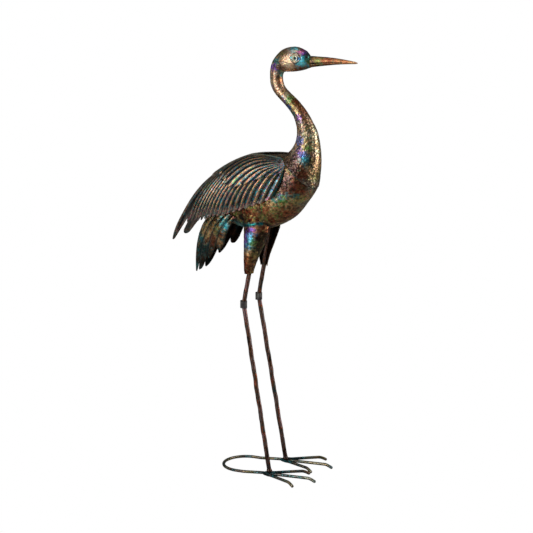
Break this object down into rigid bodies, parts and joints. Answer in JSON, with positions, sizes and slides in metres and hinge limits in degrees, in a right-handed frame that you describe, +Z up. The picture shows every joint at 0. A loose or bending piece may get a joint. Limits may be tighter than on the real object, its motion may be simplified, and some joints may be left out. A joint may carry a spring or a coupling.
{
  "type": "crane garden statue",
  "caption": "Standing crane garden statue of hammered sheet metal on bent rod legs, with ridged wings, a drooping tail and a wire loop behind its feet.",
  "frame": {"origin": "bottom centre of the part's box, on the ground between and a little behind the ankles", "axes": "+Z up, +X forwards along the beak, +Y to the bird's left"},
  "size_m": [0.4624, 0.2216, 1.04],
  "materials": {
    "hammered_sheet": "hammered sheet with a lacquered bronze, copper and teal patina, satin to glossy",
    "wing_sheet": "pressed feather sheet, dark teal in the grooves, gold and copper on the ridges, lacquered",
    "tail_sheet": "hammered sheet with a gold, teal and red patina, lacquered",
    "beak_sheet": "smooth copper and orange patina, lacquered",
    "leg_rod": "twisted iron rod with dark brown, red and green lacquer",
    "foot_rod": "twisted iron rod with dark teal and cream lacquer"
  },
  "bodies": {
    "root": {"trunk": "hammered_sheet", "neck_and_head": "hammered_sheet", "beak": "beak_sheet", "wing_right": "wing_sheet", "wing_left": "wing_sheet", "wing_rivet_right": "leg_rod", "wing_rivet_left": "leg_rod", "tail_right": "tail_sheet", "tail_left": "tail_sheet", "thigh_right": "hammered_sheet", "thigh_left": "hammered_sheet", "upper_leg_right": "leg_rod", "upper_leg_left": "leg_rod", "knee_collar_right": "leg_rod", "knee_collar_left": "leg_rod", "lower_leg_right": "leg_rod", "lower_leg_left": "leg_rod", "foot_loop": "foot_rod", "inner_toe_right": "foot_rod", "inner_toe_left": "foot_rod", "outer_toe_right": "foot_rod", "outer_toe_left": "foot_rod"}
  },
  "joints": []
}
